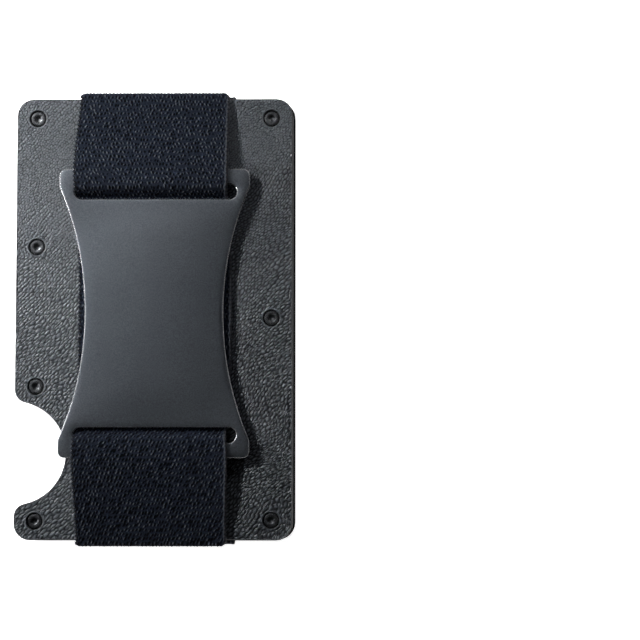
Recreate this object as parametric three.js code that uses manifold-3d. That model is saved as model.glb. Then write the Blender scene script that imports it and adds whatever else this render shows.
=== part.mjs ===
// Minimalist card wallet. Two leather-faced halves are held together by an elastic band that runs through
// a channel in each half and round both short ends. A second elastic strap goes round the front half and
// carries an hourglass metal clip for folded notes.
// Millimetres. The wallet lies on its back face: +Z is up out of the front face, and +Y runs along its
// length. The thumb notch is in the -X edge, towards -Y. The origin is the middle of the back face.

import * as THREE from 'three';
import { mergeVertices } from 'three/addons/utils/BufferGeometryUtils.js';
import Module from 'manifold-3d';

const wasm = await Module();
wasm.setup();

// Outline shared by every plate and skin: a payment card is 54 wide and 85.6 long.
const PLATE_WIDTH = 54;
const PLATE_LENGTH = 86;
const PLATE_CORNER = 3.2;

// Thumb notch: a circle centred on the plate's edge, eased into it at both ends.
const NOTCH_RADIUS = 10;
const NOTCH_Y = -26.2;
const NOTCH_EASE = 2.5;

// The elastic lets the two halves sit a little out of line, by this much each way.
const HALF_SHIFT = 0.2;

// Thicknesses, from the back face upwards.
const LEATHER = 0.6;
const OUTER_PLATE = 0.8;
const BACK_CHANNEL = 0.9;
const CHANNEL_FLOOR = 0.5;
const CARD_GAP = 0.4;
const FRONT_CHANNEL = 1.8;
const BAND = 0.8;
const CLIP_PLATE = 0.8;

// Running gaps between a band and what it lies on, and between the clip and the strap under it.
const BAND_GAP = 0.05;
const CLIP_GAP = 0.1;

// Elastic bands: both are cut from the same webbing, and stand proud of the plates at the short ends.
const BAND_WIDTH = 30;
const BAND_PROUD = 0.95;
const BAND_BEND = 0.6;
const MAIN_BAND_X = 0.5;
const CHANNEL_WIDTH = 32;

// Screws: one row of four on the notch's side and one of three on the other.
const SCREW_X = 22.85;
const NOTCH_ROW_Y = [39.1, 13.9, -13.3, -39.3];
const PLAIN_ROW_Y = [39.1, 0, -39.1];
const HEAD_RADIUS = 1.35;
const HEAD_HEIGHT = 0.9;
const HEAD_CROWN = 0.18;
const HEAD_BELOW_LEATHER = 0.05;
const SHANK_RADIUS = 0.8;
const SHANK_LENGTH = 2.0;
const SOCKET_FLATS = 1.4;
const SOCKET_DEPTH = 0.55;
const LEATHER_HOLE_RADIUS = 1.55;
const COUNTERBORE_RADIUS = 1.5;
const COUNTERBORE_DEPTH = 0.4;
const SHANK_HOLE_RADIUS = 1.0;
const SCREW_SIDES = 16;

// Clip plate: an hourglass with a slot near each end.
const CLIP_Y = 0.9;
const CLIP_LENGTH = 56;
const CLIP_END_WIDTH = 37;
const CLIP_WAIST_WIDTH = 26.8;
const CLIP_WAIST_RADIUS = 62;
const CLIP_CORNER = 1.3;
const CLIP_SHOULDER = 2;
const SLOT_LENGTH = 32;
const SLOT_WIDTH = 2.95;
const SLOT_Y = 23.6;

// Slope of the strap where it climbs through a slot, and how far past the end bar it stays level.
const SLOT_CLIMB = THREE.MathUtils.degToRad(45);
const BAR_OVERHANG = 0.4;

// Levels of the stack, worked out from the thicknesses.
const backPlateZ = LEATHER;
const backChannelZ = backPlateZ + OUTER_PLATE;
const backFloorZ = backChannelZ + BACK_CHANNEL;
const backTopZ = backFloorZ + CHANNEL_FLOOR;
const frontBottomZ = backTopZ + CARD_GAP;
const frontFloorZ = frontBottomZ + CHANNEL_FLOOR;
const frontPlateZ = frontFloorZ + FRONT_CHANNEL;
const frontLeatherZ = frontPlateZ + OUTER_PLATE;
const frontTopZ = frontLeatherZ + LEATHER;
const strapZ = frontTopZ + BAND_GAP + BAND / 2;
const clipZ = strapZ + BAND / 2 + CLIP_GAP;
const overBarZ = clipZ + CLIP_PLATE + BAND_GAP + BAND / 2;

const leather = new THREE.MeshStandardMaterial({ color: 0x3a3c40, roughness: 0.62, metalness: 0 });
const anodised = new THREE.MeshStandardMaterial({ color: 0x1d1f22, roughness: 0.5, metalness: 0.8 });
const webbing = new THREE.MeshStandardMaterial({ color: 0x14161c, roughness: 0.9, metalness: 0 });
const graphite = new THREE.MeshStandardMaterial({ color: 0x4a4d52, roughness: 0.38, metalness: 0.9 });
const screwSteel = new THREE.MeshStandardMaterial({ color: 0x303236, roughness: 0.35, metalness: 0.9 });

// --- Outlines -------------------------------------------------------------------------------------------

// Points along a circular arc, both ends included.
function arc(x, y, radius, from, to, steps) {
  const points = [];
  for (let i = 0; i <= steps; i += 1) {
    const angle = from + (to - from) * i / steps;
    points.push(new THREE.Vector2(x + radius * Math.cos(angle), y + radius * Math.sin(angle)));
  }
  return points;
}

// A quarter round at a corner of a box of the given half sizes; quarter 0 is at +X +Y, counted anticlockwise.
function quarterRound(halfX, halfY, radius, quarter) {
  const signX = quarter === 0 || quarter === 3 ? 1 : -1;
  const signY = quarter < 2 ? 1 : -1;
  const from = quarter * Math.PI / 2;
  return arc(signX * (halfX - radius), signY * (halfY - radius), radius, from, from + Math.PI / 2, 6);
}

// The plate, anticlockwise from its -X -Y corner, with the notch in its -X edge.
function plateOutline() {
  const halfX = PLATE_WIDTH / 2;
  const halfY = PLATE_LENGTH / 2;
  const easeY = Math.sqrt((NOTCH_RADIUS + NOTCH_EASE) ** 2 - NOTCH_EASE ** 2);
  const easeAngle = Math.atan2(easeY, NOTCH_EASE);
  const easeX = NOTCH_EASE - halfX;
  return [
    ...quarterRound(halfX, halfY, PLATE_CORNER, 2),
    ...quarterRound(halfX, halfY, PLATE_CORNER, 3),
    ...quarterRound(halfX, halfY, PLATE_CORNER, 0),
    ...quarterRound(halfX, halfY, PLATE_CORNER, 1),
    ...arc(easeX, NOTCH_Y + easeY, NOTCH_EASE, Math.PI, Math.PI + easeAngle, 6),
    ...arc(-halfX, NOTCH_Y, NOTCH_RADIUS, easeAngle, -easeAngle, 20).slice(1, -1),
    ...arc(easeX, NOTCH_Y - easeY, NOTCH_EASE, Math.PI - easeAngle, Math.PI, 6),
  ];
}

// One side of the clip, from its -Y end to its +Y end: corner, shoulder, waist, shoulder, corner.
function clipSide() {
  const halfX = CLIP_END_WIDTH / 2;
  const halfY = CLIP_LENGTH / 2;
  const waistX = CLIP_WAIST_WIDTH / 2 + CLIP_WAIST_RADIUS;
  const shoulderX = halfX - CLIP_SHOULDER;
  const reach = CLIP_WAIST_RADIUS + CLIP_SHOULDER;
  const shoulderY = Math.sqrt(reach ** 2 - (waistX - shoulderX) ** 2);
  const lean = Math.asin(shoulderY / reach);
  return [
    ...quarterRound(halfX, halfY, CLIP_CORNER, 3),
    ...arc(shoulderX, -shoulderY, CLIP_SHOULDER, 0, lean, 4),
    ...arc(waistX, 0, CLIP_WAIST_RADIUS, Math.PI + lean, Math.PI - lean, 24).slice(1, -1),
    ...arc(shoulderX, shoulderY, CLIP_SHOULDER, -lean, 0, 4),
    ...quarterRound(halfX, halfY, CLIP_CORNER, 0),
  ];
}

// The clip's other side is the same one turned half way round.
function clipOutline() {
  const side = clipSide();
  return [...side, ...side.map((point) => point.clone().negate())];
}

function slotOutline(y) {
  const halfRun = (SLOT_LENGTH - SLOT_WIDTH) / 2;
  return [
    ...arc(halfRun, y, SLOT_WIDTH / 2, -Math.PI / 2, Math.PI / 2, 10),
    ...arc(-halfRun, y, SLOT_WIDTH / 2, Math.PI / 2, 3 * Math.PI / 2, 10),
  ];
}

// --- Solids ---------------------------------------------------------------------------------------------

// A closed flat piece between two levels, from its outline and any holes.
function slab(outline, bottom, top, holes = []) {
  const shape = new THREE.Shape(outline);
  shape.holes = holes.map((hole) => new THREE.Path(hole));
  const geometry = new THREE.ExtrudeGeometry(shape, { depth: top - bottom, bevelEnabled: false });
  return geometry.translate(0, 0, bottom);
}

function block(width, length, bottom, top) {
  return new THREE.BoxGeometry(width, length, top - bottom).translate(0, 0, (bottom + top) / 2);
}

function toSolid(geometry) {
  const bare = geometry.clone();
  bare.deleteAttribute('normal');
  bare.deleteAttribute('uv');
  const merged = mergeVertices(bare, 1e-5);
  const triangles = [];
  for (let i = 0; i < merged.index.count; i += 3) {
    const corners = [0, 1, 2].map((step) => merged.index.getX(i + step));
    if (new Set(corners).size === 3) {
      triangles.push(...corners);
    }
  }
  return new wasm.Manifold(new wasm.Mesh({
    numProp: 3,
    vertProperties: new Float32Array(merged.attributes.position.array),
    triVerts: new Uint32Array(triangles),
  }));
}

function toGeometry(solid) {
  const mesh = solid.getMesh();
  const geometry = new THREE.BufferGeometry();
  geometry.setAttribute('position', new THREE.BufferAttribute(new Float32Array(mesh.vertProperties), 3));
  geometry.setIndex(new THREE.BufferAttribute(new Uint32Array(mesh.triVerts), 1));
  const flat = geometry.toNonIndexed();
  flat.computeVertexNormals();
  return flat;
}

function cut(geometry, tools) {
  let solid = toSolid(geometry);
  for (const tool of tools) {
    solid = solid.subtract(toSolid(tool));
  }
  return toGeometry(solid);
}

function screwPlaces() {
  return [
    ...NOTCH_ROW_Y.map((y) => ({ x: -SCREW_X, y })),
    ...PLAIN_ROW_Y.map((y) => ({ x: SCREW_X, y })),
  ];
}

// Outlines of the seven screw holes at one radius.
function screwHoles(radius) {
  return screwPlaces().map(({ x, y }) => arc(x, y, radius, 0, 2 * Math.PI, SCREW_SIDES).slice(0, -1));
}

// The seven counterbores of an outer plate, as cutting tools.
function counterbores(bottom, top) {
  return screwHoles(COUNTERBORE_RADIUS).map((hole) => slab(hole, bottom, top));
}

function leatherSkin(bottom) {
  return slab(plateOutline(), bottom, bottom + LEATHER, screwHoles(LEATHER_HOLE_RADIUS));
}

// An outer plate whose counterbores open towards its leather: upwards on the front, downwards on the back.
function outerPlate(bottom, opensUp) {
  const top = bottom + OUTER_PLATE;
  const past = 1;
  const tools = opensUp
    ? counterbores(top - COUNTERBORE_DEPTH, top + past)
    : counterbores(bottom - past, bottom + COUNTERBORE_DEPTH);
  return cut(slab(plateOutline(), bottom, top, screwHoles(SHANK_HOLE_RADIUS)), tools);
}

// An inner plate with the bands' channel, open at both short ends, between channelBottom and channelTop.
function innerPlate(bottom, top, channelBottom, channelTop) {
  const past = 1;
  const from = channelBottom > bottom ? channelBottom : bottom - past;
  const to = channelTop < top ? channelTop : top + past;
  const channel = block(CHANNEL_WIDTH, PLATE_LENGTH + 2 * past, from, to);
  return cut(slab(plateOutline(), bottom, top, screwHoles(SHANK_HOLE_RADIUS)), [channel]);
}

// A socket screw that points down, with the top of its head at z = 0.
function screw() {
  const neck = -HEAD_HEIGHT;
  const tip = neck - SHANK_LENGTH;
  const profile = [
    new THREE.Vector2(0, tip),
    new THREE.Vector2(SHANK_RADIUS * 0.7, tip),
    new THREE.Vector2(SHANK_RADIUS, tip + SHANK_RADIUS * 0.3),
    new THREE.Vector2(SHANK_RADIUS, neck),
    new THREE.Vector2(HEAD_RADIUS, neck),
    new THREE.Vector2(HEAD_RADIUS, -HEAD_CROWN),
    new THREE.Vector2(HEAD_RADIUS - HEAD_CROWN, 0),
    new THREE.Vector2(0, 0),
  ];
  const body = new THREE.LatheGeometry(profile, SCREW_SIDES).rotateX(Math.PI / 2);
  const socketRadius = SOCKET_FLATS / 2 / Math.cos(Math.PI / 6);
  const socket = new THREE.CylinderGeometry(socketRadius, socketRadius, 2 * SOCKET_DEPTH, 6).rotateX(Math.PI / 2);
  return cut(body, [socket]);
}

// --- Bands ----------------------------------------------------------------------------------------------

// Places along a closed route of rounded corners, each with the direction square to the route.
function roundedRoute(corners, bend) {
  const route = [];
  corners.forEach((corner, i) => {
    const before = corners[(i + corners.length - 1) % corners.length];
    const after = corners[(i + 1) % corners.length];
    const inward = corner.clone().sub(before).normalize();
    const outward = after.clone().sub(corner).normalize();
    const turn = Math.atan2(inward.cross(outward), inward.dot(outward));
    const start = corner.clone().addScaledVector(inward, -bend * Math.tan(Math.abs(turn) / 2));
    const side = new THREE.Vector2(-inward.y, inward.x).multiplyScalar(Math.sign(turn));
    const centre = start.clone().addScaledVector(side, bend);
    const steps = Math.max(2, Math.round(Math.abs(turn) / (Math.PI / 10)));
    for (let step = 0; step <= steps; step += 1) {
      const angle = turn * step / steps;
      const place = start.clone().rotateAround(centre, angle);
      const heading = inward.clone().rotateAround(new THREE.Vector2(), angle);
      route.push({ place, across: new THREE.Vector2(heading.y, -heading.x) });
    }
  });
  return route;
}

// A closed band that follows a route in the YZ plane and is BAND_WIDTH wide along X.
function bandLoop(corners, centreX) {
  const route = roundedRoute(corners, BAND_BEND);
  const offset = (amount) => route.map(({ place, across }) => place.clone().addScaledVector(across, amount));
  const shape = new THREE.Shape(offset(BAND / 2));
  shape.holes = [new THREE.Path(offset(-BAND / 2))];
  const geometry = new THREE.ExtrudeGeometry(shape, { depth: BAND_WIDTH, bevelEnabled: false });
  const axes = new THREE.Matrix4().makeBasis(
    new THREE.Vector3(0, 1, 0),
    new THREE.Vector3(0, 0, 1),
    new THREE.Vector3(1, 0, 0),
  );
  return geometry.applyMatrix4(axes).translate(centreX - BAND_WIDTH / 2, 0, 0);
}

const bandEndY = PLATE_LENGTH / 2 + BAND_PROUD - BAND / 2;

// Round both halves: through the back channel and the front channel.
function mainBandCorners() {
  const low = backChannelZ + BAND_GAP + BAND / 2;
  const high = frontFloorZ + BAND_GAP + BAND / 2;
  return [
    new THREE.Vector2(-bandEndY, low),
    new THREE.Vector2(bandEndY, low),
    new THREE.Vector2(bandEndY, high),
    new THREE.Vector2(-bandEndY, high),
  ];
}

// The strap at one end of the clip: level over the end bar, then down through the slot.
function overBarCorners(end) {
  const barY = CLIP_LENGTH / 2 + BAR_OVERHANG;
  const halfClimb = (overBarZ - strapZ) / Math.tan(SLOT_CLIMB) / 2;
  return [
    new THREE.Vector2(CLIP_Y + end * barY, overBarZ),
    new THREE.Vector2(CLIP_Y + end * (SLOT_Y + halfClimb), overBarZ),
    new THREE.Vector2(CLIP_Y + end * (SLOT_Y - halfClimb), strapZ),
  ];
}

// Round the front half only: back through the front channel, taut from each short end up to the clip's end
// bar, and under the clip between its slots.
function strapCorners() {
  const low = frontPlateZ - BAND_GAP - BAND / 2;
  return [
    new THREE.Vector2(-bandEndY, low),
    new THREE.Vector2(bandEndY, low),
    new THREE.Vector2(bandEndY, strapZ),
    ...overBarCorners(1),
    ...overBarCorners(-1).reverse(),
    new THREE.Vector2(-bandEndY, strapZ),
  ];
}

// --- Assembly -------------------------------------------------------------------------------------------

const wallet = new THREE.Group();

function add(parent, name, geometry, material) {
  const mesh = new THREE.Mesh(geometry, material);
  mesh.name = name;
  parent.add(mesh);
  return mesh;
}

// Seven screws with their heads just below the leather's face, facing up or turned over to face down.
function addScrews(parent, side, headZ, facesUp) {
  const geometry = screw();
  screwPlaces().forEach(({ x, y }, i) => {
    const mesh = add(parent, `${side}_screw_${i + 1}`, geometry, screwSteel);
    mesh.position.set(x, y, headZ);
    mesh.rotation.y = facesUp ? 0 : Math.PI;
  });
}

const backHalf = new THREE.Group();
backHalf.position.x = HALF_SHIFT;
wallet.add(backHalf);
add(backHalf, 'back_leather', leatherSkin(0), leather);
add(backHalf, 'back_outer_plate', outerPlate(backPlateZ, false), anodised);
add(backHalf, 'back_inner_plate', innerPlate(backChannelZ, backTopZ, backChannelZ, backFloorZ), anodised);
addScrews(backHalf, 'back', HEAD_BELOW_LEATHER, false);

const frontHalf = new THREE.Group();
frontHalf.position.x = -HALF_SHIFT;
wallet.add(frontHalf);
add(frontHalf, 'front_inner_plate', innerPlate(frontBottomZ, frontPlateZ, frontFloorZ, frontPlateZ), anodised);
add(frontHalf, 'front_outer_plate', outerPlate(frontPlateZ, true), anodised);
add(frontHalf, 'front_leather', leatherSkin(frontLeatherZ), leather);
addScrews(frontHalf, 'front', frontTopZ - HEAD_BELOW_LEATHER, true);

add(wallet, 'main_elastic', bandLoop(mainBandCorners(), MAIN_BAND_X), webbing);
add(wallet, 'cash_strap', bandLoop(strapCorners(), 0), webbing);

const clip = add(
  wallet,
  'clip_plate',
  slab(clipOutline(), clipZ, clipZ + CLIP_PLATE, [slotOutline(SLOT_Y), slotOutline(-SLOT_Y)]),
  graphite,
);
clip.position.y = CLIP_Y;

export default wallet;
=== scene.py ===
# Minimalist card wallet: two leather-faced halves held together by an elastic band, and an hourglass clip
# that a second elastic strap holds on the front. Sizes are in millimetres until a mesh is made.
# +Z is up out of the front face and +Y runs along the wallet. The thumb notch is in the -X edge.

import math

import bpy
import numpy as np
from mathutils import Euler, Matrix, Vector
from mathutils.geometry import delaunay_2d_cdt


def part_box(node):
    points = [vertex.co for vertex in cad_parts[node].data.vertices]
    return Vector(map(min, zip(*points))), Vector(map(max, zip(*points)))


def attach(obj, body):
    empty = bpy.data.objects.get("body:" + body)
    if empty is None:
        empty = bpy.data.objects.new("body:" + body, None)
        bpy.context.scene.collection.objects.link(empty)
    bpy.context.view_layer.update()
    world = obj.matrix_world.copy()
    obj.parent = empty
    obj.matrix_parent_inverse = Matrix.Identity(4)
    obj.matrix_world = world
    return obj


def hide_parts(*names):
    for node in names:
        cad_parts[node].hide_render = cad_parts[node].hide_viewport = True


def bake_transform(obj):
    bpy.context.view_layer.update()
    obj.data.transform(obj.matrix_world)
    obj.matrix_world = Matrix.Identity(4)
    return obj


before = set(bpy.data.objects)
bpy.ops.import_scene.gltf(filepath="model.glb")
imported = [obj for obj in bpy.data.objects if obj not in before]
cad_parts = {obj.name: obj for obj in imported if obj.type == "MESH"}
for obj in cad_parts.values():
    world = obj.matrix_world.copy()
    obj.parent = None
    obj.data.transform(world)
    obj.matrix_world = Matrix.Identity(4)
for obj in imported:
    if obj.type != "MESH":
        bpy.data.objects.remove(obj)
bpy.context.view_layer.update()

MM = 0.001

# Plates and skins.
PLATE_CORNER = 3.2
NOTCH_RADIUS = 10
NOTCH_Y = -26.2
NOTCH_EASE = 2.5
LEATHER_HOLE_RADIUS = 1.6
LEATHER_INSET = 0.14
BEVEL_PLATE = 0.09

# Screws.
HEAD_RADIUS = 1.36
HEAD_HEIGHT = 0.46
HEAD_SINK = 0.14
SHANK_RADIUS = 0.8
SHANK_LENGTH = 1.8
SOCKET_FLATS = 1.25
SOCKET_DEPTH = 0.38
SCREWS_A_SIDE = 7

# Clip plate.
CLIP_WAIST_WIDTH = 26.8
CLIP_WAIST_RADIUS = 62
CLIP_CORNER = 1.3
CLIP_SHOULDER = 2
CLIP_BEVEL = 0.2
CLIP_ARCH = 0.28
CLIP_ARCH_RADIUS = 230
SLOT_LENGTH = 31.6
SLOT_X = 0.2
SLOT_WIDTH = 2.95
SLOT_Y = 23.6

# Elastic bands.
BAND = 0.8
BAND_WIDTH = 30
BAND_BEND = 0.6
SLOT_CLIMB = math.radians(45)
BAR_OVERHANG = 0.4
STITCH_WIDTH = 0.685
STITCH_LENGTH = 0.85
STITCH_SHIFT = 0.5
GAP_HALF = 0.2
THREAD_REACH = 0.38
THREAD_HALF = 0.13
# A weave: its yarns' lean, half the length of its gaps, how much they wander, and how rare its threads are.
UPPER_WEAVE = (math.radians(5), 0.29, 1.0, 0.6)
LOWER_WEAVE = (math.radians(34), 0.42, 0.4, 0.6)
WEAVE_DEPTH = 0.17
STRAP_END_SHIFT = (-0.18, -0.6)
STRAP_BAR_SHIFT = -0.88
STRAP_WIDTHS = (29.3, 30.3, 29.9)
STRAP_END_PROUD = 0.25
STRAP_JOINT = 17.0
# A band's mesh steps: across its outer and its inner face, then along it where it shows and where it doesn't.
STRAP_STEPS = (0.11, 0.7, 0.125, 0.125)
MIDDLE_STEPS = (0.16, 0.7, 0.14, 0.14)
RETURN_STEPS = (0.4, 0.8, 0.6, 0.6)
MAIN_STEPS = (0.16, 0.6, 0.13, 0.5)

# Leather. Its bumps are pebbles towards +Y, then folds, and wrinkles towards -Y; each size is (long, short).
GRAIN_DEPTH = 0.2
GRAIN_LEAN = math.radians(46)
PEBBLE = (0.74, 0.62)
FOLD = (1.12, 0.6)
WRINKLE = (1.5, 0.6)
BUMP_STRETCH = 1.7
SHOULDERS = (0.84, 0.74, 0.66)
RIDGE_SHARE = 0.2
GRAIN_CLEARANCE = 0.07
STRAP_COVERS = BAND_WIDTH / 2 - 1.2
# Each area's share of the grain's size, share of its depth on each kind of bump, and seed.
LEFT_GRAIN = (0.79, (0.8, 0.8, 0.8), 100)
RIGHT_GRAIN = (0.77, (0.72, 1.0, 1.0), 300)
BACK_GRAIN = (1.12, (0.8, 0.9, 1.0), 500)
# The grain's mesh steps: along a crease, and along the ring of points round a bump.
FRONT_STEPS = (0.24, 0.36)
BACK_STEPS = (0.34, 0.5)


def box_mm(node):
    """Lowest and highest corners of a CAD node, in millimetres."""
    low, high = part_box(node)
    return np.array(low) / MM, np.array(high) / MM


def middle(node):
    low, high = box_mm(node)
    return (low + high) / 2


# --- Repeatable noise ------------------------


def hashed(ix, iy, seed):
    """A repeatable value from 0 to 1 for each lattice point."""
    h = (ix.astype(np.int64) * 374761393 + iy.astype(np.int64) * 668265263 + seed * 974634777) & 0xFFFFFFFF
    h = ((h ^ (h >> 13)) * 1274126177) & 0xFFFFFFFF
    return ((h ^ (h >> 16)) & 0xFFFFFF) / float(0x1000000)


def smooth_noise(points, size, seed):
    """Noise from -1 to 1 that changes over about one size."""
    place = points / size
    cell = np.floor(place)
    t = place - cell
    t = t * t * (3 - 2 * t)
    value = 0
    for i in (0, 1):
        for j in (0, 1):
            weight = (t[:, 0] if i else 1 - t[:, 0]) * (t[:, 1] if j else 1 - t[:, 1])
            value = value + weight * hashed(cell[:, 0] + i, cell[:, 1] + j, seed)
    return 2 * value - 1


def ramp(value, low, high):
    t = np.clip((value - low) / (high - low), 0, 1)
    return t * t * (3 - 2 * t)


# --- Outlines --------------------------------


def arc(x, y, radius, start, end, steps):
    angle = np.linspace(start, end, steps + 1)
    return np.column_stack([x + radius * np.cos(angle), y + radius * np.sin(angle)])


def circle(x, y, radius, steps):
    return arc(x, y, radius, 0, 2 * math.pi, steps)[:-1]


def quarter_round(half_x, half_y, radius, quarter, inset, steps):
    """A corner of a box, inset by an amount; quarter 0 is at +X +Y, counted anticlockwise."""
    sign_x = 1 if quarter in (0, 3) else -1
    sign_y = 1 if quarter < 2 else -1
    start = quarter * math.pi / 2
    x, y = sign_x * (half_x - radius), sign_y * (half_y - radius)
    return arc(x, y, radius - inset, start, start + math.pi / 2, steps)


def plate_outline(inset, half_x, half_y):
    """The plate, anticlockwise from its -X -Y corner, with the notch in its -X edge."""
    ease_y = math.sqrt((NOTCH_RADIUS + NOTCH_EASE) ** 2 - NOTCH_EASE ** 2)
    ease = math.atan2(ease_y, NOTCH_EASE)
    ease_x = NOTCH_EASE - half_x
    corners = [quarter_round(half_x, half_y, PLATE_CORNER, q, inset, 16) for q in (2, 3, 0, 1)]
    return np.vstack(corners + [
        arc(ease_x, NOTCH_Y + ease_y, NOTCH_EASE - inset, math.pi, math.pi + ease, 14),
        arc(-half_x, NOTCH_Y, NOTCH_RADIUS + inset, ease, -ease, 56)[1:-1],
        arc(ease_x, NOTCH_Y - ease_y, NOTCH_EASE - inset, math.pi - ease, math.pi, 14),
    ])


def clip_side(inset, half_x, half_y):
    """One side of the clip, from its -Y end to its +Y end."""
    waist_x = CLIP_WAIST_WIDTH / 2 + CLIP_WAIST_RADIUS
    shoulder_x = half_x - CLIP_SHOULDER
    reach = CLIP_WAIST_RADIUS + CLIP_SHOULDER
    shoulder_y = math.sqrt(reach ** 2 - (waist_x - shoulder_x) ** 2)
    lean = math.asin(shoulder_y / reach)
    return np.vstack([
        quarter_round(half_x, half_y, CLIP_CORNER, 3, inset, 10),
        arc(shoulder_x, -shoulder_y, CLIP_SHOULDER - inset, 0, lean, 8),
        arc(waist_x, 0, CLIP_WAIST_RADIUS + inset, math.pi + lean, math.pi - lean, 60)[1:-1],
        arc(shoulder_x, shoulder_y, CLIP_SHOULDER - inset, -lean, 0, 8),
        quarter_round(half_x, half_y, CLIP_CORNER, 0, inset, 10),
    ])


def clip_outline(inset, half_x, half_y):
    side = clip_side(inset, half_x, half_y)
    return np.vstack([side, -side])


def slot_outline(y, inset):
    """A round-ended slot, anticlockwise; an inset widens it, because the metal draws back from it."""
    half_run = (SLOT_LENGTH - SLOT_WIDTH) / 2
    radius = SLOT_WIDTH / 2 + inset
    return np.vstack([
        arc(SLOT_X + half_run, y, radius, -math.pi / 2, math.pi / 2, 20),
        arc(SLOT_X - half_run, y, radius, math.pi / 2, 3 * math.pi / 2, 20),
    ])


def subdivided(loops, spacing):
    """The same loops with every long side cut into equal parts, as many in each loop as in the first."""
    first = loops[0]
    lengths = np.linalg.norm(np.roll(first, -1, 0) - first, axis=1)
    parts = np.maximum(1, np.round(lengths / spacing)).astype(int)
    result = []
    for loop in loops:
        after = np.roll(loop, -1, 0)
        sides = [a + (b - a) * np.arange(n)[:, None] / n for a, b, n in zip(loop, after, parts)]
        result.append(np.vstack(sides))
    return result


def inside(points, loop):
    """Whether each point is inside the loop, by counting the sides that a ray from it crosses."""
    odd = np.zeros(len(points), bool)
    x, y = points[:, 0], points[:, 1]
    for (ax, ay), (bx, by) in zip(loop, np.roll(loop, -1, 0)):
        if ay == by:
            continue
        crosses = (ay > y) != (by > y)
        odd ^= crosses & (x < ax + (y - ay) * (bx - ax) / (by - ay))
    return odd


def distance_to(points, loop):
    """How far each point is from the loop's nearest side."""
    near = np.full(len(points), 1e9)
    for a, b in zip(loop, np.roll(loop, -1, 0)):
        along = b - a
        t = np.clip(((points - a) @ along) / max(along @ along, 1e-12), 0, 1)
        near = np.minimum(near, np.linalg.norm(points - a - t[:, None] * along, axis=1))
    return near


# --- Meshes ----------------------------------


def make_object(name, points, faces, material, attributes=(), smooth=True):
    """A mesh object from points in millimetres, with one number a point for each named attribute."""
    mesh = bpy.data.meshes.new(name)
    mesh.from_pydata((np.asarray(points) * MM).tolist(), [], faces)
    mesh.polygons.foreach_set("use_smooth", [smooth] * len(mesh.polygons))
    for label, values in attributes:
        layer = mesh.attributes.new(label, "FLOAT", "POINT")
        layer.data.foreach_set("value", np.asarray(values, np.float32))
    mesh.materials.append(material)
    mesh.update()
    obj = bpy.data.objects.new(name, mesh)
    bpy.context.scene.collection.objects.link(obj)
    return obj


def split_edges(obj, degrees):
    """Marks creases sharper than an angle, so that flat faces shade flat beside a rounded edge."""
    obj.data.set_sharp_from_angle(angle=math.radians(degrees))


def bridge(low, high):
    """Faces between two closed rings of point numbers, facing out if the rings run anticlockwise upwards."""
    faces = []
    for i in range(len(low)):
        j = (i + 1) % len(low)
        faces.append((low[i], low[j], high[j], high[i]))
    return faces


def cap(outer, holes, inner, squeeze):
    """Triangles, anticlockwise from above, that fill outer around the holes and use the inner points.
    They are chosen after the points are multiplied by squeeze, so that they can be longer one way."""
    loops = [outer] + holes
    points = np.vstack(loops + [inner]) if len(inner) else np.vstack(loops)
    edges, start = [], 0
    for loop in loops:
        edges += [(start + i, start + (i + 1) % len(loop)) for i in range(len(loop))]
        start += len(loop)
    found = delaunay_2d_cdt([Vector(p) for p in (points @ squeeze).tolist()], edges, [], 0, 1e-7, True)
    source = np.array([origin[0] for origin in found[3]])
    triangles = source[np.array(found[2])]
    centres = points[triangles].mean(axis=1)
    keep = inside(centres, outer)
    for hole in holes:
        keep &= ~inside(centres, hole)
    return triangles[keep]


class Slab:
    """A flat piece built of levels: an outer wall, hole walls, and a cap at the bottom and the top."""

    def __init__(self):
        self.points = []
        self.faces = []
        self.count = 0

    def add_points(self, flat, z):
        flat = np.asarray(flat)
        levels = np.full(len(flat), z) if np.isscalar(z) else z
        self.points.append(np.column_stack([flat, levels]))
        numbers = np.arange(self.count, self.count + len(flat))
        self.count += len(flat)
        return numbers

    def wall(self, levels, inward):
        """Rings from the bottom up, each (loop, z), joined by faces. Returns the lowest and the highest."""
        rings = [self.add_points(loop, z) for loop, z in levels]
        for low, high in zip(rings, rings[1:]):
            faces = bridge(low, high)
            self.faces += [face[::-1] for face in faces] if inward else faces
        return rings[0], rings[-1]

    def close(self, outer_loop, hole_loops, outer_ring, hole_rings, z, upwards, inner=(), squeeze=np.eye(2)):
        inner = np.asarray(inner).reshape(-1, 2)
        numbers = [outer_ring] + hole_rings
        if len(inner):
            numbers.append(self.add_points(inner, z))
        numbers = np.concatenate(numbers)
        triangles = numbers[cap(outer_loop, hole_loops, inner, squeeze)]
        self.faces += (triangles if upwards else triangles[:, ::-1]).tolist()

    def all_points(self):
        return np.vstack(self.points)


def slab(levels, hole_levels, inner=(), squeeze=np.eye(2)):
    """A Slab from the outer wall's levels and each hole's levels, bottom first, as (loop, z)."""
    piece = Slab()
    low, high = piece.wall(levels, inward=False)
    holes = [piece.wall(hole, inward=True) for hole in hole_levels]
    low_holes = [hole[0][0] for hole in hole_levels]
    high_holes = [hole[-1][0] for hole in hole_levels]
    piece.close(levels[0][0], low_holes, low, [h[0] for h in holes], levels[0][1], False)
    piece.close(levels[-1][0], high_holes, high, [h[1] for h in holes], levels[-1][1], True, inner, squeeze)
    return piece


def screw_places(side):
    """Middles of one side's screws, from the CAD."""
    return [middle(f"{side}_screw_{i + 1}")[:2] for i in range(SCREWS_A_SIDE)]


# --- Leather skins ---------------------------


def drift(places, seed):
    """How far the grain's straight lattice is pushed about at each place."""
    slow = np.column_stack([smooth_noise(places, 11, seed + k) for k in (1, 2)])
    quick = np.column_stack([smooth_noise(places, 2.3, seed + k) for k in (3, 4)])
    return 1.4 * slow + 0.09 * quick


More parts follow.
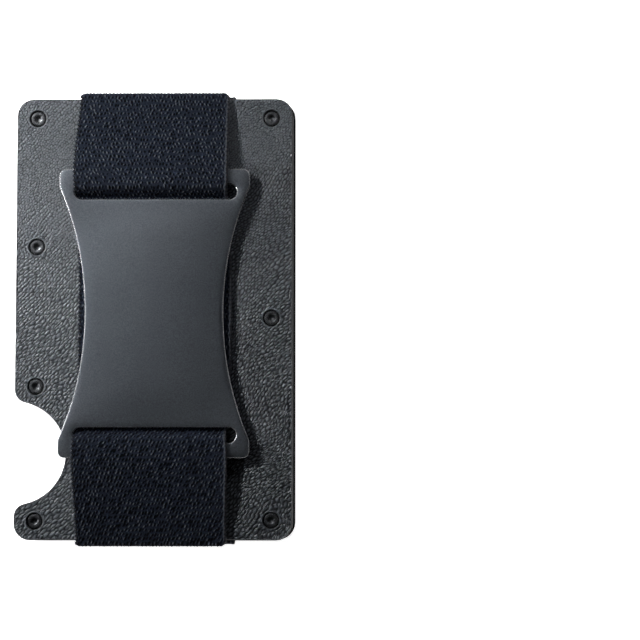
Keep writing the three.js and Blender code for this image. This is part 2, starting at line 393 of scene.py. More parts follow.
def grain_squeeze():
    """Turns places on the skin so that the grain lies along x, and shortens them along it."""
    cosine, sine = math.cos(GRAIN_LEAN), math.sin(GRAIN_LEAN)
    return np.array([[cosine / BUMP_STRETCH, -sine], [sine / BUMP_STRETCH, cosine]])


def to_surface(lattice, seed):
    """Places on the skin of points given along and across the leaning lattice."""
    cosine, sine = math.cos(GRAIN_LEAN), math.sin(GRAIN_LEAN)
    along, across = lattice[:, 0], lattice[:, 1]
    bent = np.column_stack([along * cosine - across * sine, along * sine + across * cosine])
    place = bent
    for _ in range(8):
        place = bent - drift(place, seed)
    return place


def scattered(long, short, reach, seed):
    """One point in each long by short cell, as (along, across), over a square of half size reach."""
    columns = np.arange(-reach // long, reach // long + 1)
    rows = np.arange(-reach // short, reach // short + 1)
    i, j = (number.ravel() for number in np.meshgrid(columns, rows))
    along = (i + 0.5 * (j % 2) + 0.75 * (hashed(i, j, seed) - 0.5)) * long
    across = (j + 0.6 * (hashed(i, j, seed + 1) - 0.5)) * short
    return np.column_stack([along, across])


def bump_middles(half, scale, seed):
    """Middles of the grain's bumps, as (along, across), with each bump's kind and the level that chose it."""
    reach = math.hypot(*half) + 5
    found, kinds, levels = [], [], []
    for k, (size, low, high) in enumerate([(PEBBLE, 0.4, 99), (FOLD, -0.4, 0.4), (WRINKLE, -99, -0.4)]):
        middles = scattered(size[0] * scale, size[1] * scale, reach, seed + 10 * k)
        place = to_surface(middles, seed)
        level = (place[:, 1] - 12 - 0.3 * place[:, 0]) / 16 + 0.4 * smooth_noise(place, 9, seed + 5)
        near = (np.abs(place) < half + 2).all(axis=1)
        chosen = near & (level > low) & (level <= high)
        found.append(middles[chosen])
        kinds.append(np.full(chosen.sum(), k))
        levels.append(level[chosen])
    return np.vstack(found), np.concatenate(kinds), np.concatenate(levels)


def creases(middles):
    """The net of creases between bumps. Returns its corners with a bump beside each, and for each crease its
    two corners and its two bumps."""
    squeezed = [Vector(p) for p in (middles / (BUMP_STRETCH, 1)).tolist()]
    found = delaunay_2d_cdt(squeezed, [], [], 0, 1e-7, True)
    source = np.array([origin[0] for origin in found[3]])
    triangles = source[np.array(found[2])]
    sides = np.vstack([triangles[:, [0, 1]], triangles[:, [1, 2]], triangles[:, [2, 0]]])
    owner = np.tile(np.arange(len(triangles)), 3)
    key = np.sort(sides, axis=1)
    order = np.lexsort((key[:, 1], key[:, 0]))
    key, owner = key[order], owner[order]
    shared = np.flatnonzero((key[1:] == key[:-1]).all(axis=1))
    return middles[triangles].mean(axis=1), triangles[:, 0], owner[shared], owner[shared + 1], key[shared]


def grain_points(half, grain, steps):
    """Places that carry the grain, with a height for each from 0 in a deep crease to 1 on top of a bump."""
    scale, relief, seed = grain
    crease_step, ring_step = steps
    middles, kinds, levels = bump_middles(half, scale, seed)
    corners, beside, first, last, pair = creases(middles)
    relief = np.interp(levels, (-1, 0, 1.2), relief[::-1])
    tone = 0.7 + 0.3 * hashed(np.arange(len(middles)), np.zeros(len(middles)), seed + 7)
    shoulder = np.array(SHOULDERS)[kinds] * tone
    lengths = np.array([PEBBLE[0], FOLD[0], WRINKLE[0]])[kinds] * scale
    ridge = np.column_stack([RIDGE_SHARE * lengths, np.zeros(len(middles))])
    points = [corners, middles, middles - ridge, middles + ridge]
    heights = [1 - relief[beside]] + [1 - relief * (1 - tone)] * 3
    start, stop = corners[first], corners[last]
    length = np.linalg.norm(stop - start, axis=1)
    along_crease = np.maximum(1, np.round(length / crease_step)).astype(int)
    along_ring = np.maximum(1, np.round(length / ring_step)).astype(int)
    # A crease between two long bumps end to end is shallow, so wrinkles run on through it.
    apart = np.abs(middles[pair[:, 0]] - middles[pair[:, 1]])
    floor = 0.3 * ramp(apart[:, 0] / BUMP_STRETCH - apart[:, 1], 0.2, 0.6)
    floor = 1 - relief[pair[:, 0]] * (1 - floor)
    for parts in range(2, along_crease.max() + 1):
        chosen = along_crease == parts
        for k in range(1, parts):
            points.append(start[chosen] + (stop - start)[chosen] * k / parts)
            heights.append(floor[chosen])
    for parts in range(1, along_ring.max() + 1):
        chosen = along_ring == parts
        for k in range(parts):
            rim = start[chosen] + (stop - start)[chosen] * (k + 0.5) / parts
            for side in (0, 1):
                bump = pair[chosen, side]
                points.append(middles[bump] + 0.6 * (rim - middles[bump]))
                heights.append((1 - relief * (1 - shoulder))[bump])
    # Besides shaping the grain, these heights are painted into the leather's colour as shade, darker the
    # deeper the crease.
    return to_surface(np.vstack(points), seed), np.concatenate(heights)


def front_grain(half, centre_x):
    """The front's grain, on either side of the strap."""
    left, left_height = grain_points(half, LEFT_GRAIN, FRONT_STEPS)
    right, right_height = grain_points(half, RIGHT_GRAIN, FRONT_STEPS)
    on_left = left[:, 0] + centre_x < 0
    on_right = right[:, 0] + centre_x > 0
    inner = np.vstack([left[on_left], right[on_right]])
    return inner, np.concatenate([left_height[on_left], right_height[on_right]])


def hex_grid(half_x, half_y, spacing):
    xs = np.arange(-half_x, half_x, spacing)
    ys = np.arange(-half_y, half_y, spacing * math.sqrt(3) / 2)
    gx, gy = np.meshgrid(xs, ys)
    gx[::2] += spacing / 2
    return np.column_stack([gx.ravel(), gy.ravel()])


def clear_of(points, outer, holes, gap):
    """Whether each point is inside the outer loop and outside the round holes by at least the gap."""
    good = inside(points, outer)
    good[good] = distance_to(points[good], outer[::2]) > gap
    for hole in holes:
        centre = hole.mean(axis=0)
        radius = np.linalg.norm(hole - centre, axis=1).max()
        good &= np.linalg.norm(points - centre, axis=1) > radius + gap
    return good


def inner_points(outer, holes, spacing):
    """A triangular grid inside the outer loop and outside the holes, clear of their sides."""
    grid = hex_grid(*np.abs(outer).max(axis=0), spacing)
    return grid[clear_of(grid, outer, holes, 0.6 * spacing)]


def skin_grain(side, half, centre_x, outline, holes):
    """Places inside a skin's outline and clear of its holes, with the grain's height at each."""
    if side == "back":
        inner, height = grain_points(half, BACK_GRAIN, BACK_STEPS)
        good = clear_of(inner, outline, holes, GRAIN_CLEARANCE)
        return inner[good], height[good]
    # The strap covers the middle, so the grain is modelled only where the skin shows.
    inner, height = front_grain(half, centre_x)
    good = clear_of(inner, outline, holes, GRAIN_CLEARANCE)
    good &= np.abs(inner[:, 0] + centre_x) > STRAP_COVERS
    plain = inner_points(outline, holes, 0.5)
    plain = plain[np.abs(plain[:, 0] + centre_x) < STRAP_COVERS - 0.2]
    return np.vstack([inner[good], plain]), np.concatenate([height[good], np.full(len(plain), 0.8)])


def leather_skin(side, material):
    """One leather skin with its grain modelled on the face and a soft, rounded cut edge."""
    node = f"{side}_leather"
    low, high = box_mm(node)
    thickness = high[2] - low[2]
    centre = (low[:2] + high[:2]) / 2
    half = (high[:2] - low[:2]) / 2
    rim = [(0.05, 0.0), (0.0, 0.05), (0.0, 0.3), (0.012, 0.42), (0.035, 0.51), (0.07, 0.567), (0.12, 0.595)]
    loops = subdivided([plate_outline(LEATHER_INSET + inset, *half) for inset, _ in rim], 0.25)
    levels = [(loop, z) for loop, (_, z) in zip(loops, rim)]
    lip = [(0.0, 0.0), (0.0, 0.38), (0.03, 0.5), (0.1, 0.57), (0.22, 0.59)]
    holes = [
        [(circle(x - centre[0], y - centre[1], LEATHER_HOLE_RADIUS + grow, 44), z) for grow, z in lip]
        for x, y in screw_places(side)
    ]
    tops = [hole[-1][0] for hole in holes]
    inner, inner_height = skin_grain(side, half, centre[0], loops[-1], tops)
    piece = slab(levels, holes, inner, grain_squeeze())
    points = piece.all_points()
    flat, depth = points[:, :2], points[:, 2].copy()
    seed = (LEFT_GRAIN if side == "front" else BACK_GRAIN)[2]
    height = np.full(len(points), 0.85)
    height[-len(inner):] = inner_height
    top_ring = (len(rim) - 1) * len(loops[0]) + np.arange(len(loops[0]))
    height[top_ring] = 0.2 + 0.7 * hashed(top_ring, top_ring, seed)
    rising = ramp(depth, 0.3, 0.59)
    swell = 0.02 * smooth_noise(flat, 5, seed + 30) - 0.02
    points[:, 2] -= rising * (GRAIN_DEPTH * (1 - height) - swell)
    edge = 1 - ramp(depth, 0.55, 0.594)
    if side == "back":
        points[:, 2] = thickness - points[:, 2]
        piece.faces = [face[::-1] for face in piece.faces]
    points += [centre[0], centre[1], low[2]]
    # The grain height also goes to the material, which paints shade into the creases with it.
    obj = make_object(f"{node}_skin", points, piece.faces, material, [("grain", height), ("edge", edge)])
    split_edges(obj, 48)
    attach(obj, f"{side}_half")
    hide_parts(node)
    return obj


# --- Plates ----------------------------------


def finish_plate(node, material):
    """A CAD plate keeps its shape, with its sharp edges broken by a fine bevel."""
    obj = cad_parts[node]
    obj.data.materials.clear()
    obj.data.materials.append(material)
    weld = obj.modifiers.new("weld", "WELD")
    weld.merge_threshold = 1e-6
    bevel = obj.modifiers.new("bevel", "BEVEL")
    bevel.width = BEVEL_PLATE * MM
    bevel.segments = 2
    bevel.limit_method = "ANGLE"
    bevel.angle_limit = math.radians(40)
    bevel.harden_normals = True
    bevel.use_clamp_overlap = True


# --- Clip ------------------------------------


def clip_rim(thickness):
    """Insets and heights of the clip's edge, from its underside up and over the rounded upper edge."""
    rim = [(CLIP_BEVEL, 0.0), (CLIP_BEVEL * 0.3, CLIP_BEVEL * 0.3), (0.0, CLIP_BEVEL)]
    for step in range(4):
        angle = step / 3 * math.pi / 2
        inset = CLIP_BEVEL * (1 - math.cos(angle))
        rim.append((inset, thickness - CLIP_BEVEL * (1 - math.sin(angle))))
    return rim


def clip_plate(material):
    """The hourglass clip plate with its two slots, slightly arched between them."""
    low, high = box_mm("clip_plate")
    centre = (low[:2] + high[:2]) / 2
    half = (high[:2] - low[:2]) / 2
    thickness = high[2] - low[2]
    rim = clip_rim(thickness)
    loops = subdivided([clip_outline(inset, *half) for inset, _ in rim], 0.8)
    levels = [(loop, z) for loop, (_, z) in zip(loops, rim)]
    holes = []
    for y in (SLOT_Y, -SLOT_Y):
        edges = subdivided([slot_outline(y, inset) for inset, _ in rim], 0.8)
        holes.append([(loop, z) for loop, (_, z) in zip(edges, rim)])
    inner = inner_points(loops[-1], [], 0.9)
    for hole in holes:
        outer = hole[-1][0]
        inner = inner[~inside(inner, outer)]
        inner = inner[distance_to(inner, outer) > 0.4]
    piece = slab(levels, holes, inner)
    points = piece.all_points()
    bare = (points[:, 2] > thickness - CLIP_BEVEL * 0.98) & (points[:, 2] < thickness - 1e-4)
    between_slots = 1 - ramp(np.abs(points[:, 1]), SLOT_Y - 9, SLOT_Y - 2)
    points[:, 2] += between_slots * (CLIP_ARCH - points[:, 0] ** 2 / (2 * CLIP_ARCH_RADIUS))
    points += [centre[0], centre[1], low[2]]
    obj = make_object("money_clip", points, piece.faces, material, [("bevel", bare)])
    split_edges(obj, 28)
    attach(obj, "clip")
    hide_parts("clip_plate")
    return obj


# --- Screws ----------------------------------


def hexagon(flats, steps):
    """Distance from the middle to a hexagon's side at each step round it."""
    angle = np.linspace(0, 2 * math.pi, steps + 1)[:-1]
    from_flat = (angle + math.pi / 6) % (math.pi / 3) - math.pi / 6
    return flats / 2 / np.cos(from_flat)


def screw_mesh(material):
    """A hexagon socket screw that points down, with the top of its head at z = 0."""
    steps = 48
    angle = np.linspace(0, 2 * math.pi, steps + 1)[:-1]
    turn = np.column_stack([np.cos(angle), np.sin(angle)])
    neck = -HEAD_HEIGHT
    tip = neck - SHANK_LENGTH
    crown = 0.12
    profile = [
        (0.56, tip), (SHANK_RADIUS, tip + 0.24), (SHANK_RADIUS, neck), (HEAD_RADIUS - 0.06, neck),
        (HEAD_RADIUS, neck + 0.06), (HEAD_RADIUS, -crown), (HEAD_RADIUS - 0.02, -crown * 0.55),
        (HEAD_RADIUS - 0.06, -crown * 0.2), (HEAD_RADIUS - crown, -0.012), (HEAD_RADIUS - 0.2, 0.0),
    ]
    rings = [turn * radius for radius, _ in profile]
    heights = [z for _, z in profile]
    socket = hexagon(SOCKET_FLATS, steps)[:, None]
    for grow, z in ((0.06, 0.0), (0.03, -0.012), (0.0, -0.05), (0.0, -SOCKET_DEPTH)):
        rings.append(turn * (socket + grow))
        heights.append(z)
    rings += [turn * SOCKET_FLATS / 2 * 0.92, turn * SOCKET_FLATS / 2 * 0.3]
    heights += [-SOCKET_DEPTH - 0.02, -SOCKET_DEPTH - 0.16]
    points = [np.column_stack([ring, np.full(steps, z)]) for ring, z in zip(rings, heights)]
    faces = []
    for level in range(len(rings) - 1):
        low = [level * steps + i for i in range(steps)]
        faces += bridge(low, [n + steps for n in low])
    faces.append(list(range(steps))[::-1])
    last = (len(rings) - 1) * steps
    faces.append([last + i for i in range(steps)])
    obj = make_object("screw_master", np.vstack(points), faces, material)
    split_edges(obj, 35)
    mesh = obj.data
    bpy.data.objects.remove(obj)
    return mesh


def screws(side, mesh):
    """Seven screws, each turned its own way, facing up on the front and down on the back."""
    for i in range(SCREWS_A_SIDE):
        node = f"{side}_screw_{i + 1}"
        low, high = box_mm(node)
        x, y = (low[:2] + high[:2]) / 2
        z = high[2] - HEAD_SINK if side == "front" else low[2] + HEAD_SINK
        obj = bpy.data.objects.new(f"{side}_socket_screw_{i + 1}", mesh)
        bpy.context.scene.collection.objects.link(obj)
        obj.location = Vector((x, y, z)) * MM
        spin = math.radians((37 * i + (11 if side == "front" else 29)) % 60)
        flip = 0 if side == "front" else math.pi
        obj.rotation_euler = Euler((flip, 0, spin))
        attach(obj, f"{side}_half")
        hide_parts(node)


# --- Elastic bands ---------------------------


def rounded_route(corners, bend, closed):
    """Points of a route in the YZ plane whose corners are rounded."""
    corners = [np.array(c, float) for c in corners]
    route = [] if closed else [corners[0]]
    span = range(len(corners)) if closed else range(1, len(corners) - 1)
    for i in span:
        before, corner, after = corners[i - 1], corners[i], corners[(i + 1) % len(corners)]
        inward = (corner - before) / np.linalg.norm(corner - before)
        outward = (after - corner) / np.linalg.norm(after - corner)
        turn = math.atan2(inward[0] * outward[1] - inward[1] * outward[0], inward @ outward)
        start = corner - inward * bend * math.tan(abs(turn) / 2)
        side = np.array([-inward[1], inward[0]]) * np.sign(turn)
        centre = start + side * bend
        for step in range(13):
            a = turn * step / 12
            spoke = start - centre
            route.append(centre + np.array([
                spoke[0] * math.cos(a) - spoke[1] * math.sin(a),
                spoke[0] * math.sin(a) + spoke[1] * math.cos(a),
            ]))
    if not closed:
        route.append(corners[-1])
    return np.array(route)


def spaced(route, closed, fine, coarse, is_fine):
    """Places along a route, close together where is_fine says so, with directions square to it."""
    if closed:
        route = np.vstack([route, route[:1]])
    lengths = np.concatenate([[0], np.cumsum(np.linalg.norm(np.diff(route, axis=0), axis=1))])
    stops, s = [], 0.0
    while s < lengths[-1] - fine / 2:
        stops.append(s)
        y = np.interp(s, lengths, route[:, 0])
        s += fine if is_fine(y) else coarse
    if not closed:
        stops.append(lengths[-1])
    stops = np.array(stops)
    place = np.column_stack([np.interp(stops, lengths, route[:, k]) for k in (0, 1)])
    reach = 0.05
    ahead = np.column_stack([np.interp(stops + reach, lengths, route[:, k]) for k in (0, 1)])
    behind = np.column_stack([np.interp(stops - reach, lengths, route[:, k]) for k in (0, 1)])
    heading = ahead - behind
    if closed:
        heading[0] = route[1] - route[-2]
    heading /= np.linalg.norm(heading, axis=1)[:, None]
    out = np.column_stack([heading[:, 1], -heading[:, 0]])
    return stops, place, out


def weave_height(x, s, weave, seed):
    """Woven face of the elastic at x across it and s along it: 0 in the small gaps between the yarns, about a
    half on the ground, and up to 1 on the threads that stand out of it."""
    lean, gap_reach, wander, rarity = weave
    row = s / STITCH_LENGTH
    gap = np.zeros(len(x))
    thread = np.zeros(len(x))
    column_shift = 0.3 * smooth_noise(np.column_stack([x, s]), 4.0, seed)
    for step in (-1, 0, 1):
        j = np.round(row) + step
        shifted = x / STITCH_WIDTH - STITCH_SHIFT * (j % 2) + column_shift
        for side in (-1, 0, 1):
            i = np.round(shifted) + side
            wobble = hashed(i, j, seed + 3) - 0.5
            dx = (shifted - i + 0.42 * (hashed(i, j, seed + 4) - 0.5)) * STITCH_WIDTH
            dy = (row - j + 0.5 * (hashed(i, j, seed + 5) - 0.5)) * STITCH_LENGTH
            turn = lean + wander * wobble
            along = dy * np.cos(turn) - dx * np.sin(turn)
            across = dx * np.cos(turn) + dy * np.sin(turn)
            reach = np.hypot(along / gap_reach, across / GAP_HALF) + 0.6 * (hashed(i, j, seed + 6) - 0.5)
            gap = np.maximum(gap, 1 - ramp(reach, 0.55, 1.15))
            turn = lean + 1.8 * wander * (hashed(i, j, seed + 7) - 0.5)
            beside = dx + STITCH_WIDTH * 0.5
            along = dy * np.cos(turn) - beside * np.sin(turn)
            across = beside * np.cos(turn) + dy * np.sin(turn)
            reach = 1 - (along / THREAD_REACH) ** 2 - (across / THREAD_HALF) ** 2
            thread = np.maximum(thread, np.clip(reach, 0, 1) ** 0.6 * hashed(i, j, seed + 8) ** rarity)
    # Besides the face's depth, this height is painted into the colour: painted shade in the gaps and painted
    # sheen on the threads.
    return (0.46 + 0.54 * thread) * (1 - gap)


def selvedge_cord(x, s):
    """The band's two edges: loops with gaps between them on the -X side, and a plain cord on the other."""
    beat = np.abs(np.sin(math.pi * s / STITCH_LENGTH))
    # Besides the edge's shape, this height is painted into the colour: painted shade between the loops and
    # painted sheen on the cord.
    return np.where(x < 0, 0.05 + 0.8 * beat ** 1.8, 0.84 + 0.16 * beat)


def band_ring(step_out, step_in):
    """Places across a band's section: (x, side) with side 1 on the outer face and -1 on the inner one."""
    half = BAND_WIDTH / 2
    outer = np.linspace(-half + 0.28, half - 0.28, int(BAND_WIDTH / step_out))
    inner = np.linspace(half - 0.28, -half + 0.28, int(BAND_WIDTH / step_in))
    turn = np.linspace(math.pi / 2, -math.pi / 2, 7)[1:-1]
    right = [(half - 0.28 + 0.28 * math.cos(a), math.sin(a)) for a in turn]
    left = [(-half + 0.28 - 0.28 * math.cos(a), -math.sin(a)) for a in turn]
    ring = [(x, 1.0) for x in outer] + right + [(x, -1.0) for x in inner] + left
    return np.array(ring)


def band_faces(rows, count, closed):
    """Faces of a band's tube, and of its two flat ends where it isn't closed."""
    numbers = np.arange(rows * count).reshape(rows, count)
    faces = []
    for row in range(rows if closed else rows - 1):
        low, high = numbers[row], numbers[(row + 1) % rows]
        faces += np.column_stack([low, np.roll(low, -1), np.roll(high, -1), high]).tolist()
    if not closed:
        faces.append(numbers[0][::-1].tolist())
        faces.append(numbers[-1].tolist())
    return faces


def everywhere(y):
    return True


def band(name, route, centre_x, seed, steps, material, closed=False, is_fine=everywhere, weave=UPPER_WEAVE,
         shape=None):
    """Webbing that follows a route: a loop or an open length with flat ends, woven on its outer face."""
    step_out, step_in, fine, coarse = steps
    stops, place, out = spaced(rounded_route(route, BAND_BEND, closed), closed, fine, coarse, is_fine)
    ring = band_ring(step_out, step_in)
    count, rows = len(ring), len(stops)
    x = np.tile(ring[:, 0], rows)
    side = np.tile(ring[:, 1], rows)
    s = np.repeat(stops, count)
    height = weave_height(x, s, weave, seed)
    from_edge = BAND_WIDTH / 2 - np.abs(x)
    selvedge = 1 - ramp(from_edge, 0.35, 0.75)
    cord = selvedge_cord(x, s)
    height = height * (1 - selvedge) + cord * selvedge
    outer_share = ramp(side, -0.2, 0.9)
    lift = side * BAND / 2 - outer_share * WEAVE_DEPTH * (1 - height)
    narrow = selvedge * (1 - cord) * 0.45 * np.sign(x)
    middle_y = np.repeat(place[:, 0], count)
    middle_z = np.repeat(place[:, 1], count)
    shift, widening = shape(middle_y) if shape is not None else (0, 1)
    points = np.column_stack([
        centre_x + shift + (x - narrow) * widening,
        middle_y + lift * np.repeat(out[:, 0], count),
        middle_z + lift * np.repeat(out[:, 1], count),
    ])
    if shape is not None:
        # The corners of a fold are pulled in, the +X one further.
        end = np.abs(place[:, 0]).max()
        near = ramp(np.abs(middle_y), end - 2.2, end)
        pull = np.where(x < 0, 0.28, 0.6) * ramp(np.abs(x), BAND_WIDTH / 2 - 1.0, BAND_WIDTH / 2)
        points[:, 1] -= np.sign(middle_y) * near * pull
    faces = band_faces(rows, count, closed)
    # The weave height goes to the material, which paints shade into the gaps and sheen onto the raised
    # threads with it.
    obj = make_object(name, points, faces, material, [("weave", height), ("selvedge", selvedge)])
    flat = (BAND_WIDTH * MM, float(np.linalg.norm(np.diff(place, axis=0), axis=1).sum()) * MM)
    return obj, flat


def strap_levels():
    """Heights of the strap's middle: in the channel, under the clip, and over the clip's bars."""
    low, high = box_mm("cash_strap")
    clip_low, _ = box_mm("clip_plate")
    in_channel = low[2] + BAND / 2
    over_bar = high[2] - BAND / 2
    under_clip = clip_low[2] - 0.1 - BAND / 2
    return in_channel, under_clip, over_bar


def strap_route(end, start_y, stop_rel):
    """Half of the strap, from the channel's mouth round one end and up over the bar to under the clip."""
    in_channel, under_clip, over_bar = strap_levels()
    _, high = box_mm("cash_strap")
    end_y = high[1] - BAND / 2 + STRAP_END_PROUD
    clip_y = middle("clip_plate")[1]
    clip_low, clip_high = box_mm("clip_plate")
    bar = (clip_high[1] - clip_low[1]) / 2 + BAR_OVERHANG
    half_climb = (over_bar - under_clip) / math.tan(SLOT_CLIMB) / 2
    return [
        (end * start_y, in_channel),
        (end * end_y, in_channel),
        (end * end_y, under_clip),
        (clip_y + end * bar, over_bar),
        (clip_y + end * (SLOT_Y + half_climb), over_bar),
        (clip_y + end * (SLOT_Y - half_climb), under_clip),
        (clip_y + end * stop_rel, under_clip),
    ]


def strap_shape(y):
    """The strap's shift in x and its share of the full width at each y. It is drawn in where it turns round
    an end and where it passes a slot, and it spreads over the clip's bar."""
    rel = y - middle("clip_plate")[1]
    at_end = ramp(np.abs(rel), 28, 44)
    waist = 1 - ramp(np.abs(rel), 8, SLOT_Y)
    at_slot = np.exp(-((np.abs(rel) - SLOT_Y) / 1.6) ** 2)
    end_shift = np.where(rel > 0, *STRAP_END_SHIFT)
    shift = at_end * end_shift + (1 - at_end) * (1 - waist) * STRAP_BAR_SHIFT
    end_width, bar_width, slot_width = STRAP_WIDTHS
    width = at_end * end_width + (1 - at_end) * bar_width
    width = width * (1 - at_slot) + slot_width * at_slot
    width = width * (1 - waist) + BAND_WIDTH * waist
    return shift, width / BAND_WIDTH


def flipped_if(end, route):
    """A route turned so that the band's outer face is the one away from the wallet."""
    return route if end > 0 else route[::-1]


def cash_strap(material):
    """The strap round the front half, in four pieces that meet under the clip and in the channel's mouths."""
    mouth = box_mm("front_inner_plate")[1][1] - 0.1
    for end, word, weave in ((1, "upper", UPPER_WEAVE), (-1, "lower", LOWER_WEAVE)):
        route = flipped_if(end, strap_route(end, mouth, STRAP_JOINT))
        name = f"cash_strap_{word}"
        obj, flat = band(name, route, 0, 40, STRAP_STEPS, material, weave=weave, shape=strap_shape)
        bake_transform(obj)
        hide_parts("cash_strap")
    in_channel, under_clip, _ = strap_levels()
    clip_y = middle("clip_plate")[1]
    route = [(clip_y + y, under_clip) for y in (STRAP_JOINT, 0, -STRAP_JOINT)]
    obj, flat = band("cash_strap_middle", route, 0, 41, MIDDLE_STEPS, material, shape=strap_shape)
    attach(obj, "clip")
    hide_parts("cash_strap")
    route = [(-mouth, in_channel), (0, in_channel), (mouth, in_channel)]
    obj, flat = band("cash_strap_return", route, 0, 42, RETURN_STEPS, material)
    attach(obj, "front_half")
    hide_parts("cash_strap")


def main_elastic(material):
    """The closed band round both halves, made as one fixed mesh; the real band stretches between them as they
    move apart.
    """
    low, high = box_mm("main_elastic")
    end_y = high[1] - BAND / 2
    bottom, top = low[2] + BAND / 2, high[2] - BAND / 2
    route = [(-end_y, bottom), (end_y, bottom), (end_y, top), (-end_y, top)]
    mouth = box_mm("back_inner_plate")[1][1] - 0.6

    def shows(y):
        return abs(y) > mouth

    x = (low[0] + high[0]) / 2
    obj, flat = band("main_elastic_band", route, x, 43, MAIN_STEPS, material, closed=True, is_fine=shows)
    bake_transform(obj)
    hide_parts("main_elastic")


# --- Materials -------------------------------


class Nodes:
    """A material's node tree, with short calls to add and join nodes."""

    def __init__(self, name):
        self.material = bpy.data.materials.new(name)
        self.material.use_nodes = True
        self.tree = self.material.node_tree
        self.shader = self.tree.nodes["Principled BSDF"]

    def add(self, kind, **settings):
        node = self.tree.nodes.new(kind)
        for key, value in settings.items():
            setattr(node, key, value)
        return node

    def put(self, node, **values):
        for key, value in values.items():
            node.inputs[key.replace("_", " ")].default_value = value
        return node

    def join(self, output, target):
        self.tree.links.new(output, target)

    def attribute(self, name):
        return self.add("ShaderNodeAttribute", attribute_name=name).outputs["Fac"]

    def place(self):
        return self.add("ShaderNodeTexCoord").outputs["Object"]

    def noise(self, scale, detail=2.0, roughness=0.5, stretch=None):
        node = self.add("ShaderNodeTexNoise")
        self.put(node, Scale=scale, Detail=detail, Roughness=roughness)
        if stretch is None:
            self.join(self.place(), node.inputs["Vector"])
        else:
            mapping = self.add("ShaderNodeMapping")
            mapping.inputs["Scale"].default_value = stretch
            self.join(self.place(), mapping.inputs["Vector"])
            self.join(mapping.outputs["Vector"], node.inputs["Vector"])
        return node.outputs["Fac"]

    def ramp(self, value, stops):
        node = self.add("ShaderNodeValToRGB")
        ends = node.color_ramp.elements
        while len(ends) < len(stops):
            ends.new(0.5)
        for element, (position, colour) in zip(ends, stops):
            element.position = position
            element.color = (*colour, 1)
        self.join(value, node.inputs["Fac"])
        return node.outputs["Color"]

    def blend(self, share, a, b, mode="MIX"):
        """Colour a turning into colour b as share goes from 0 to 1."""
        node = self.add("ShaderNodeMix", data_type="RGBA", blend_type=mode)
        for index, value in ((0, share), (6, a), (7, b)):
            if isinstance(value, (int, float)):
                node.inputs[index].default_value = value
            elif isinstance(value, tuple):
                node.inputs[index].default_value = (*value, 1)
            else:
                self.join(value, node.inputs[index])
        return node.outputs[2]

    def range(self, value, low, high, to_low, to_high):
        node = self.add("ShaderNodeMapRange")
        for index, number in enumerate((low, high, to_low, to_high)):
            node.inputs[index + 1].default_value = number
        self.join(value, node.inputs[0])
        return node.outputs[0]

    def math(self, operation, a, b):
        node = self.add("ShaderNodeMath", operation=operation)
        for index, value in enumerate((a, b)):
            if isinstance(value, (int, float)):
                node.inputs[index].default_value = value
            else:
                self.join(value, node.inputs[index])
        return node.outputs[0]

    def bump(self, height, depth, strength=1.0, before=None):
        node = self.add("ShaderNodeBump")
        self.put(node, Strength=strength, Distance=depth)
        self.join(height, node.inputs["Height"])
        if before is not None:
            self.join(before, node.inputs["Normal"])
        return node.outputs["Normal"]


def leather_material():
    nodes = Nodes("pebbled_leather")
    grain = nodes.attribute("grain")
    edge = nodes.attribute("edge")
    # The colour follows the grain's height as painted shade. It is lightest on the bump tops, darker down
    # their sides, and nearly black in the creases. The mottle below is the leather's own uneven tone.
    face = nodes.ramp(grain, [
        (0.0, (0.0025, 0.0035, 0.0055)),
        (0.3, (0.015, 0.018, 0.023)),
        (0.6, (0.066, 0.074, 0.086)),
        (1.0, (0.121, 0.136, 0.155)),
    ])
    mottle = nodes.range(nodes.noise(150, 4, 0.6), 0.3, 0.7, 0.93, 1.07)
    face = nodes.blend(1.0, face, mottle, "MULTIPLY")
    cut = nodes.ramp(nodes.noise(2500, 4, 0.7), [(0.3, (0.010, 0.011, 0.013)), (0.7, (0.03, 0.031, 0.033))])
    colour = nodes.blend(edge, face, cut)
    nodes.join(colour, nodes.shader.inputs["Base Color"])
    rough = nodes.range(nodes.noise(900, 3, 0.6), 0.3, 0.7, 0.32, 0.44)
    rough = nodes.math("ADD", rough, nodes.range(grain, 0.0, 1.0, 0.16, 0.0))
    nodes.join(rough, nodes.shader.inputs["Roughness"])
    pores = nodes.bump(nodes.noise(5200, 4, 0.65), 0.00003, 0.5)
    folds = nodes.bump(nodes.noise(1900, 3, 0.6), 0.00004, 0.5, pores)
    nodes.join(folds, nodes.shader.inputs["Normal"])
    nodes.put(nodes.shader, Specular_IOR_Level=0.4)
    return nodes.material


def anodised_material():
    nodes = Nodes("black_anodised_aluminium")
    tone = nodes.ramp(nodes.noise(700, 3), [(0.35, (0.007, 0.008, 0.010)), (0.65, (0.012, 0.013, 0.016))])
    nodes.join(tone, nodes.shader.inputs["Base Color"])
    rough = nodes.range(nodes.noise(9000, 2), 0.3, 0.7, 0.36, 0.5)
    nodes.join(rough, nodes.shader.inputs["Roughness"])
    lines = nodes.bump(nodes.noise(3000, 2, 0.5, (0.15, 0.15, 6.0)), 0.00001, 0.5)
    nodes.join(lines, nodes.shader.inputs["Normal"])
    nodes.put(nodes.shader, Metallic=0.75)
    return nodes.material


def clip_material():
    nodes = Nodes("blasted_graphite_steel")
    speck = nodes.noise(4800, 3, 0.7)
    cloud = nodes.noise(60, 3, 0.5)
    tone = nodes.ramp(cloud, [(0.3, (0.138, 0.154, 0.176)), (0.7, (0.16, 0.176, 0.2))])
    tone = nodes.blend(1.0, tone, nodes.range(speck, 0.3, 0.7, 0.7, 1.28), "MULTIPLY")
    bevel = nodes.attribute("bevel")
    tone = nodes.blend(bevel, tone, (0.55, 0.56, 0.58))
    nodes.join(tone, nodes.shader.inputs["Base Color"])
    rough = nodes.range(speck, 0.3, 0.7, 0.33, 0.42)
    rough = nodes.math("SUBTRACT", rough, nodes.range(bevel, 0.0, 1.0, 0.0, 0.16))
    nodes.join(rough, nodes.shader.inputs["Roughness"])
    fine = nodes.bump(nodes.noise(11000, 4, 0.7), 0.000008, 0.6)
    nodes.join(fine, nodes.shader.inputs["Normal"])
    nodes.put(nodes.shader, Metallic=0.92)
    return nodes.material


